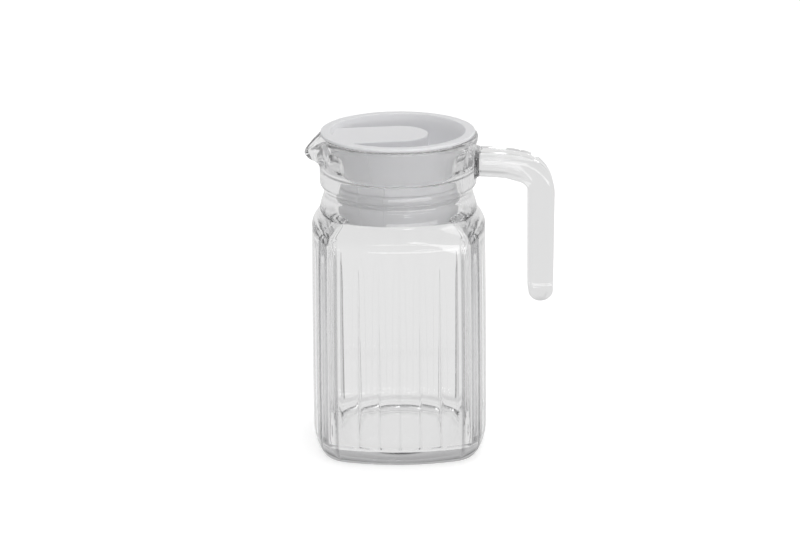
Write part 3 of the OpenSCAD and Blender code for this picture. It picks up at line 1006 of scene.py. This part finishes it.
def shiny_rays(path, nodes, links):
    """1 for the rays that left a shiny surface or passed through glass."""
    either = nodes.new("ShaderNodeMath")
    either.operation = "MAXIMUM"
    links.new(path.outputs["Is Glossy Ray"], either.inputs[0])
    links.new(path.outputs["Is Transmission Ray"], either.inputs[1])
    return either.outputs["Value"]


def by_ray(nodes, links, plain, shiny, camera):
    """Chooses a shader by the ray that meets it: off or through glass, from the camera, or any other."""
    path = nodes.new("ShaderNodeLightPath")
    first = nodes.new("ShaderNodeMixShader")
    links.new(shiny_rays(path, nodes, links), first.inputs["Fac"])
    links.new(plain, first.inputs[1])
    links.new(shiny, first.inputs[2])
    second = nodes.new("ShaderNodeMixShader")
    links.new(path.outputs["Is Camera Ray"], second.inputs["Fac"])
    links.new(first.outputs["Shader"], second.inputs[1])
    links.new(camera, second.inputs[2])
    return second.outputs["Shader"]


def pale_floor(finish):
    """A pale floor that keeps a faint shadow, lifted to plain white for the camera."""
    material, nodes, links = new_material("pale floor")
    nodes.clear()
    matt = nodes.new("ShaderNodeBsdfDiffuse")
    matt.inputs["Color"].default_value = grey(finish.floor_grey)
    glow = nodes.new("ShaderNodeEmission")
    glow.inputs["Color"].default_value = grey(FLOOR_LIFT)
    lifted = nodes.new("ShaderNodeAddShader")
    links.new(matt.outputs["BSDF"], lifted.inputs[0])
    links.new(glow.outputs["Emission"], lifted.inputs[1])
    seen = nodes.new("ShaderNodeEmission")
    seen.inputs["Color"].default_value = grey(BACKGROUND)
    out = nodes.new("ShaderNodeOutputMaterial")
    shader = by_ray(nodes, links, matt.outputs["BSDF"], seen.outputs["Emission"], lifted.outputs["Shader"])
    links.new(shader, out.inputs["Surface"])
    return material


def room_shade(nodes, links, stops):
    """A grey that runs from the horizon up to the zenith through the given stops of height and grey."""
    place = nodes.new("ShaderNodeTexCoord")
    split = nodes.new("ShaderNodeSeparateXYZ")
    shade = nodes.new("ShaderNodeValToRGB")
    shade.color_ramp.interpolation = "EASE"
    marks = shade.color_ramp.elements
    while len(marks) < len(stops):
        marks.new(0.5)
    for mark, (height, value) in zip(marks, stops):
        mark.position = height
        mark.color = grey(value)
    links.new(place.outputs["Generated"], split.inputs["Vector"])
    links.new(split.outputs["Z"], shade.inputs["Fac"])
    return shade.outputs["Color"]


def studio_world():
    """White to the camera, pale with a dimmer ceiling to the glass, and a soft grey room to the rest."""
    world = bpy.data.worlds.new("studio")
    world.use_nodes = True
    bpy.context.scene.world = world
    nodes, links = world.node_tree.nodes, world.node_tree.links
    nodes.clear()
    white, seen, light = (nodes.new("ShaderNodeBackground") for _ in range(3))
    white.inputs["Color"].default_value = grey(1)
    links.new(room_shade(nodes, links, SEEN_ROOM), seen.inputs["Color"])
    links.new(room_shade(nodes, links, LIT_ROOM), light.inputs["Color"])
    out = nodes.new("ShaderNodeOutputWorld")
    shades = [node.outputs["Background"] for node in (light, seen, white)]
    links.new(by_ray(nodes, links, *shades), out.inputs["Surface"])


def photo_camera(scene):
    """The camera at the photo's angle, with its slight roll."""
    ahead = (Vector(AIM) - Vector(EYE)).normalized()
    right = ahead.cross(Vector((0, 0, 1))).normalized()
    up = right.cross(ahead)
    across = right * math.cos(ROLL) + up * math.sin(ROLL)
    above = up * math.cos(ROLL) - right * math.sin(ROLL)
    camera = bpy.data.objects.new("camera", bpy.data.cameras.new("camera"))
    camera.data.sensor_width = SENSOR
    camera.data.sensor_fit = "HORIZONTAL"
    camera.data.lens = FOCAL_PIXELS * SENSOR / PICTURE_WIDTH
    turned = Matrix((across, above, -ahead)).transposed().to_4x4()
    camera.matrix_world = Matrix.Translation(Vector(EYE)) @ turned
    scene.collection.objects.link(camera)
    scene.camera = camera


class PITCHER_OT_stage(bpy.types.Operator):
    """Set up the floor, the lamps, the room and the camera"""

    bl_idname = "pitcher.stage"
    bl_label = "Studio stage"

    def execute(self, context):
        scene = context.scene
        scene.view_settings.view_transform = "Standard"
        scene.cycles.max_bounces = BOUNCES
        scene.cycles.transmission_bounces = BOUNCES
        scene.cycles.glossy_bounces = BOUNCES
        bm = bmesh.new()
        bmesh.ops.create_grid(bm, x_segments=1, y_segments=1, size=FLOOR_HALF)
        floor = mesh_piece("floor", bm, pale_floor(scene.pitcher_finish), smooth=False)
        studio_world()
        for values in LAMPS:
            lamp(*values)
        photo_camera(scene)
        return {"FINISHED"}


class PITCHER_PT_sidebar(bpy.types.Panel):
    """Lists the pitcher's sizes and colours, and the buttons that build it"""

    bl_label = "Pitcher"
    bl_idname = "PITCHER_PT_sidebar"
    bl_space_type = "VIEW_3D"
    bl_region_type = "UI"
    bl_category = "Pitcher"

    def draw(self, context):
        scene = context.scene
        glass = (scene.pitcher_body, scene.pitcher_neck, scene.pitcher_handle)
        for group in (*glass, scene.pitcher_lid, scene.pitcher_finish):
            self.layout.label(text=group.bl_rna.description)
            for name in group.bl_rna.properties.keys():
                if name not in ("rna_type", "name"):
                    self.layout.prop(group, name)
        for operator in OPERATORS:
            self.layout.operator(operator.bl_idname)


GROUPS = (PitcherBody, PitcherNeck, PitcherHandle, PitcherLid, PitcherFinish)
OPERATORS = (PITCHER_OT_stage, PITCHER_OT_glass, PITCHER_OT_lid)
CLASSES = (*GROUPS, *OPERATORS, PITCHER_PT_sidebar)


def register():
    for kind in CLASSES:
        bpy.utils.register_class(kind)
    bpy.types.Scene.pitcher_body = bpy.props.PointerProperty(type=PitcherBody)
    bpy.types.Scene.pitcher_neck = bpy.props.PointerProperty(type=PitcherNeck)
    bpy.types.Scene.pitcher_handle = bpy.props.PointerProperty(type=PitcherHandle)
    bpy.types.Scene.pitcher_lid = bpy.props.PointerProperty(type=PitcherLid)
    bpy.types.Scene.pitcher_finish = bpy.props.PointerProperty(type=PitcherFinish)


def unregister():
    del bpy.types.Scene.pitcher_finish
    del bpy.types.Scene.pitcher_lid
    del bpy.types.Scene.pitcher_handle
    del bpy.types.Scene.pitcher_neck
    del bpy.types.Scene.pitcher_body
    for kind in reversed(CLASSES):
        bpy.utils.unregister_class(kind)


def main():
    register()
    bpy.ops.pitcher.stage()
    bpy.ops.pitcher.glass()
    bpy.ops.pitcher.lid()


if __name__ == "__main__":
    main()
